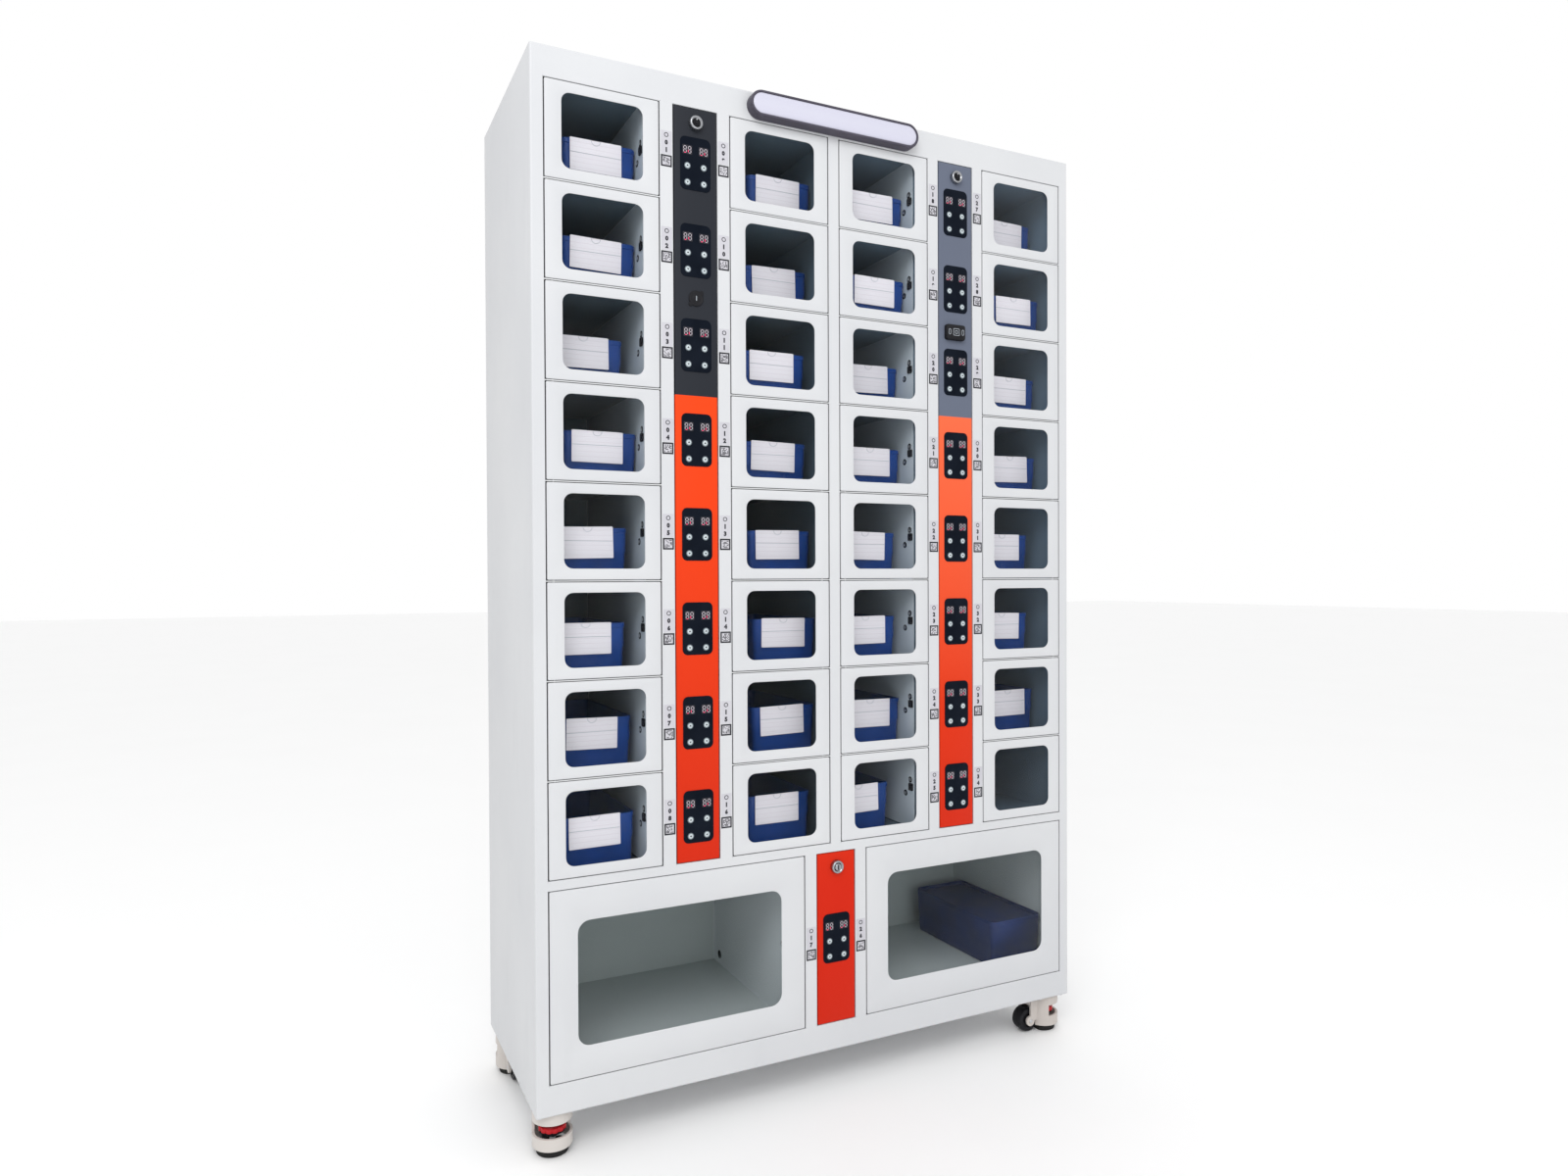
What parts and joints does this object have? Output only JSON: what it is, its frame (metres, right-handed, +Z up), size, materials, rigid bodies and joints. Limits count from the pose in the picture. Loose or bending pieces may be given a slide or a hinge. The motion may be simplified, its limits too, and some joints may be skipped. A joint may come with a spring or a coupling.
{
  "type": "smart compartment kiosk",
  "caption": "Free-standing steel kiosk with rows of windowed compartment doors, display strips with push buttons, blue bins, a header lamp and levelling casters.",
  "frame": {"origin": "on the floor, at the middle of the whole object's box", "axes": "+Z up, +X to the right when facing the doors, the doors face -Y"},
  "size_m": [1.2, 0.452, 1.957],
  "materials": {
    "white_powder_coat": "fine satin powder coat",
    "grey_powder_coat": "satin powder coat",
    "dark_steel": "black satin paint",
    "lamp_plastic": "matt housing with a diffusing lens",
    "blue_plastic": "satin moulded polypropylene",
    "black_plastic": "matt moulded plastic",
    "board_housing": "satin paint",
    "door_coat_glass": "satin powder coat round a clear pane",
    "control_strip": "satin powder coat, dark grey above and orange-red below",
    "lock_chrome": "polished",
    "cast_housing": "cream satin paint on casting",
    "black_nylon": "moulded nylon",
    "foot_rubber": "matt rubber pad with a red thumbwheel"
  },
  "bodies": {
    "cabinet": {"casing_panels": "white_powder_coat", "base_chassis": "dark_steel", "front_frame": "white_powder_coat", "compartment_walls": "grey_powder_coat", "header_lamp": "lamp_plastic", "storage_bins": "blue_plastic", "door_latches": "black_plastic", "control_electronics": "board_housing"},
    "door_01": {"door_01": "door_coat_glass"},
    "door_02": {"door_02": "door_coat_glass"},
    "door_03": {"door_03": "door_coat_glass"},
    "door_04": {"door_04": "door_coat_glass"},
    "door_05": {"door_05": "door_coat_glass"},
    "door_06": {"door_06": "door_coat_glass"},
    "door_07": {"door_07": "door_coat_glass"},
    "door_08": {"door_08": "door_coat_glass"},
    "door_09": {"door_09": "door_coat_glass"},
    "door_10": {"door_10": "door_coat_glass"},
    "door_11": {"door_11": "door_coat_glass"},
    "door_12": {"door_12": "door_coat_glass"},
    "door_13": {"door_13": "door_coat_glass"},
    "door_14": {"door_14": "door_coat_glass"},
    "door_15": {"door_15": "door_coat_glass"},
    "door_16": {"door_16": "door_coat_glass"},
    "door_18": {"door_18": "door_coat_glass"},
    "door_19": {"door_19": "door_coat_glass"},
    "door_20": {"door_20": "door_coat_glass"},
    "door_21": {"door_21": "door_coat_glass"},
    "door_22": {"door_22": "door_coat_glass"},
    "door_23": {"door_23": "door_coat_glass"},
    "door_24": {"door_24": "door_coat_glass"},
    "door_25": {"door_25": "door_coat_glass"},
    "door_27": {"door_27": "door_coat_glass"},
    "door_28": {"door_28": "door_coat_glass"},
    "door_29": {"door_29": "door_coat_glass"},
    "door_30": {"door_30": "door_coat_glass"},
    "door_31": {"door_31": "door_coat_glass"},
    "door_32": {"door_32": "door_coat_glass"},
    "door_33": {"door_33": "door_coat_glass"},
    "door_34": {"door_34": "door_coat_glass"},
    "door_17": {"door_17": "door_coat_glass"},
    "door_26": {"door_26": "door_coat_glass"},
    "control_strip_left": {"control_strip_left": "control_strip"},
    "lock_plug_left": {"lock_plug_left": "lock_chrome"},
    "control_strip_right": {"control_strip_right": "control_strip"},
    "lock_plug_right": {"lock_plug_right": "lock_chrome"},
    "control_strip_centre": {"control_strip_centre": "control_strip"},
    "lock_plug_centre": {"lock_plug_centre": "lock_chrome"},
    "caster_fl_fork": {"caster_fl_fork": "cast_housing"},
    "caster_fl_wheel": {"caster_fl_wheel": "black_nylon"},
    "caster_fl_foot": {"caster_fl_foot": "foot_rubber"},
    "caster_fr_fork": {"caster_fr_fork": "cast_housing"},
    "caster_fr_wheel": {"caster_fr_wheel": "black_nylon"},
    "caster_fr_foot": {"caster_fr_foot": "foot_rubber"},
    "caster_rl_fork": {"caster_rl_fork": "cast_housing"},
    "caster_rl_wheel": {"caster_rl_wheel": "black_nylon"},
    "caster_rl_foot": {"caster_rl_foot": "foot_rubber"},
    "caster_rr_fork": {"caster_rr_fork": "cast_housing"},
    "caster_rr_wheel": {"caster_rr_wheel": "black_nylon"},
    "caster_rr_foot": {"caster_rr_foot": "foot_rubber"}
  },
  "joints": [
    {"name": "door_01_hinge", "type": "hinge", "parent": "cabinet", "child": "door_01", "pos_m": [-0.56225, -0.198, 1.81395], "axis": [0, 0, -1], "range_deg": [0, 110]},
    {"name": "door_02_hinge", "type": "hinge", "parent": "cabinet", "child": "door_02", "pos_m": [-0.56225, -0.198, 1.63825], "axis": [0, 0, -1], "range_deg": [0, 110]},
    {"name": "door_03_hinge", "type": "hinge", "parent": "cabinet", "child": "door_03", "pos_m": [-0.56225, -0.198, 1.46255], "axis": [0, 0, -1], "range_deg": [0, 110]},
    {"name": "door_04_hinge", "type": "hinge", "parent": "cabinet", "child": "door_04", "pos_m": [-0.56225, -0.198, 1.28685], "axis": [0, 0, -1], "range_deg": [0, 110]},
    {"name": "door_05_hinge", "type": "hinge", "parent": "cabinet", "child": "door_05", "pos_m": [-0.56225, -0.198, 1.11115], "axis": [0, 0, -1], "range_deg": [0, 110]},
    {"name": "door_06_hinge", "type": "hinge", "parent": "cabinet", "child": "door_06", "pos_m": [-0.56225, -0.198, 0.93545], "axis": [0, 0, -1], "range_deg": [0, 110]},
    {"name": "door_07_hinge", "type": "hinge", "parent": "cabinet", "child": "door_07", "pos_m": [-0.56225, -0.198, 0.75975], "axis": [0, 0, -1], "range_deg": [0, 110]},
    {"name": "door_08_hinge", "type": "hinge", "parent": "cabinet", "child": "door_08", "pos_m": [-0.56225, -0.198, 0.58405], "axis": [0, 0, -1], "range_deg": [0, 110]},
    {"name": "door_09_hinge", "type": "hinge", "parent": "cabinet", "child": "door_09", "pos_m": [-0.02625, -0.198, 1.81395], "axis": [0, 0, 1], "range_deg": [0, 90]},
    {"name": "door_10_hinge", "type": "hinge", "parent": "cabinet", "child": "door_10", "pos_m": [-0.02625, -0.198, 1.63825], "axis": [0, 0, 1], "range_deg": [0, 90]},
    {"name": "door_11_hinge", "type": "hinge", "parent": "cabinet", "child": "door_11", "pos_m": [-0.02625, -0.198, 1.46255], "axis": [0, 0, 1], "range_deg": [0, 90]},
    {"name": "door_12_hinge", "type": "hinge", "parent": "cabinet", "child": "door_12", "pos_m": [-0.02625, -0.198, 1.28685], "axis": [0, 0, 1], "range_deg": [0, 90]},
    {"name": "door_13_hinge", "type": "hinge", "parent": "cabinet", "child": "door_13", "pos_m": [-0.02625, -0.198, 1.11115], "axis": [0, 0, 1], "range_deg": [0, 90]},
    {"name": "door_14_hinge", "type": "hinge", "parent": "cabinet", "child": "door_14", "pos_m": [-0.02625, -0.198, 0.93545], "axis": [0, 0, 1], "range_deg": [0, 90]},
    {"name": "door_15_hinge", "type": "hinge", "parent": "cabinet", "child": "door_15", "pos_m": [-0.02625, -0.198, 0.75975], "axis": [0, 0, 1], "range_deg": [0, 90]},
    {"name": "door_16_hinge", "type": "hinge", "parent": "cabinet", "child": "door_16", "pos_m": [-0.02625, -0.198, 0.58405], "axis": [0, 0, 1], "range_deg": [0, 90]},
    {"name": "door_18_hinge", "type": "hinge", "parent": "cabinet", "child": "door_18", "pos_m": [0.02625, -0.198, 1.81395], "axis": [0, 0, -1], "range_deg": [0, 90]},
    {"name": "door_19_hinge", "type": "hinge", "parent": "cabinet", "child": "door_19", "pos_m": [0.02625, -0.198, 1.63825], "axis": [0, 0, -1], "range_deg": [0, 90]},
    {"name": "door_20_hinge", "type": "hinge", "parent": "cabinet", "child": "door_20", "pos_m": [0.02625, -0.198, 1.46255], "axis": [0, 0, -1], "range_deg": [0, 90]},
    {"name": "door_21_hinge", "type": "hinge", "parent": "cabinet", "child": "door_21", "pos_m": [0.02625, -0.198, 1.28685], "axis": [0, 0, -1], "range_deg": [0, 90]},
    {"name": "door_22_hinge", "type": "hinge", "parent": "cabinet", "child": "door_22", "pos_m": [0.02625, -0.198, 1.11115], "axis": [0, 0, -1], "range_deg": [0, 90]},
    {"name": "door_23_hinge", "type": "hinge", "parent": "cabinet", "child": "door_23", "pos_m": [0.02625, -0.198, 0.93545], "axis": [0, 0, -1], "range_deg": [0, 90]},
    {"name": "door_24_hinge", "type": "hinge", "parent": "cabinet", "child": "door_24", "pos_m": [0.02625, -0.198, 0.75975], "axis": [0, 0, -1], "range_deg": [0, 90]},
    {"name": "door_25_hinge", "type": "hinge", "parent": "cabinet", "child": "door_25", "pos_m": [0.02625, -0.198, 0.58405], "axis": [0, 0, -1], "range_deg": [0, 90]},
    {"name": "door_27_hinge", "type": "hinge", "parent": "cabinet", "child": "door_27", "pos_m": [0.56225, -0.198, 1.81395], "axis": [0, 0, 1], "range_deg": [0, 110]},
    {"name": "door_28_hinge", "type": "hinge", "parent": "cabinet", "child": "door_28", "pos_m": [0.56225, -0.198, 1.63825], "axis": [0, 0, 1], "range_deg": [0, 110]},
    {"name": "door_29_hinge", "type": "hinge", "parent": "cabinet", "child": "door_29", "pos_m": [0.56225, -0.198, 1.46255], "axis": [0, 0, 1], "range_deg": [0, 110]},
    {"name": "door_30_hinge", "type": "hinge", "parent": "cabinet", "child": "door_30", "pos_m": [0.56225, -0.198, 1.28685], "axis": [0, 0, 1], "range_deg": [0, 110]},
    {"name": "door_31_hinge", "type": "hinge", "parent": "cabinet", "child": "door_31", "pos_m": [0.56225, -0.198, 1.11115], "axis": [0, 0, 1], "range_deg": [0, 110]},
    {"name": "door_32_hinge", "type": "hinge", "parent": "cabinet", "child": "door_32", "pos_m": [0.56225, -0.198, 0.93545], "axis": [0, 0, 1], "range_deg": [0, 110]},
    {"name": "door_33_hinge", "type": "hinge", "parent": "cabinet", "child": "door_33", "pos_m": [0.56225, -0.198, 0.75975], "axis": [0, 0, 1], "range_deg": [0, 110]},
    {"name": "door_34_hinge", "type": "hinge", "parent": "cabinet", "child": "door_34", "pos_m": [0.56225, -0.198, 0.58405], "axis": [0, 0, 1], "range_deg": [0, 110]},
    {"name": "door_17_hinge", "type": "hinge", "parent": "cabinet", "child": "door_17", "pos_m": [-0.56225, -0.198, 0.3082], "axis": [0, 0, -1], "range_deg": [0, 110]},
    {"name": "door_26_hinge", "type": "hinge", "parent": "cabinet", "child": "door_26", "pos_m": [0.56225, -0.198, 0.3082], "axis": [0, 0, 1], "range_deg": [0, 110]},
    {"name": "control_strip_left_hinge", "type": "hinge", "parent": "cabinet", "child": "control_strip_left", "pos_m": [-0.25725, -0.2005, 1.199], "axis": [0, 0, 1], "range_deg": [0, 90]},
    {"name": "lock_plug_left_turn", "type": "hinge", "parent": "control_strip_left", "child": "lock_plug_left", "pos_m": [-0.29425, -0.204, 1.8716], "axis": [0, 1, 0], "range_deg": [0, 90]},
    {"name": "control_strip_right_hinge", "type": "hinge", "parent": "cabinet", "child": "control_strip_right", "pos_m": [0.33125, -0.2005, 1.199], "axis": [0, 0, 1], "range_deg": [0, 90]},
    {"name": "lock_plug_right_turn", "type": "hinge", "parent": "control_strip_right", "child": "lock_plug_right", "pos_m": [0.29425, -0.204, 1.8716], "axis": [0, 1, 0], "range_deg": [0, 90]},
    {"name": "control_strip_centre_hinge", "type": "hinge", "parent": "cabinet", "child": "control_strip_centre", "pos_m": [0.037, -0.2005, 0.3082], "axis": [0, 0, 1], "range_deg": [0, 90]},
    {"name": "lock_plug_centre_turn", "type": "hinge", "parent": "control_strip_centre", "child": "lock_plug_centre", "pos_m": [0, -0.204, 0.4499], "axis": [0, 1, 0], "range_deg": [0, 90]},
    {"name": "caster_fl_swivel", "type": "hinge", "parent": "cabinet", "child": "caster_fl_fork", "pos_m": [-0.5615, -0.159, 0.0785], "axis": [0, 0, 1], "continuous": true},
    {"name": "caster_fl_roll", "type": "hinge", "parent": "caster_fl_fork", "child": "caster_fl_wheel", "pos_m": [-0.5615, -0.111, 0.027], "axis": [1, 0, 0], "continuous": true},
    {"name": "caster_fl_level", "type": "slide", "parent": "caster_fl_fork", "child": "caster_fl_foot", "axis": [0, 0, 1], "range_m": [0, 0.01]},
    {"name": "caster_fr_swivel", "type": "hinge", "parent": "cabinet", "child": "caster_fr_fork", "pos_m": [0.5615, -0.159, 0.0785], "axis": [0, 0, 1], "continuous": true},
    {"name": "caster_fr_roll", "type": "hinge", "parent": "caster_fr_fork", "child": "caster_fr_wheel", "pos_m": [0.5135, -0.159, 0.027], "axis": [0, 1, 0], "continuous": true},
    {"name": "caster_fr_level", "type": "slide", "parent": "caster_fr_fork", "child": "caster_fr_foot", "axis": [0, 0, 1], "range_m": [0, 0.01]},
    {"name": "caster_rl_swivel", "type": "hinge", "parent": "cabinet", "child": "caster_rl_fork", "pos_m": [-0.5615, 0.181, 0.0785], "axis": [0, 0, 1], "continuous": true},
    {"name": "caster_rl_roll", "type": "hinge", "parent": "caster_rl_fork", "child": "caster_rl_wheel", "pos_m": [-0.5615, 0.133, 0.027], "axis": [-1, 0, 0], "continuous": true},
    {"name": "caster_rl_level", "type": "slide", "parent": "caster_rl_fork", "child": "caster_rl_foot", "axis": [0, 0, 1], "range_m": [0, 0.01]},
    {"name": "caster_rr_swivel", "type": "hinge", "parent": "cabinet", "child": "caster_rr_fork", "pos_m": [0.5615, 0.181, 0.0785], "axis": [0, 0, 1], "continuous": true},
    {"name": "caster_rr_roll", "type": "hinge", "parent": "caster_rr_fork", "child": "caster_rr_wheel", "pos_m": [0.5375, 0.13943, 0.027], "axis": [-0.866, 0.5, 0], "continuous": true},
    {"name": "caster_rr_level", "type": "slide", "parent": "caster_rr_fork", "child": "caster_rr_foot", "axis": [0, 0, 1], "range_m": [0, 0.01]}
  ]
}
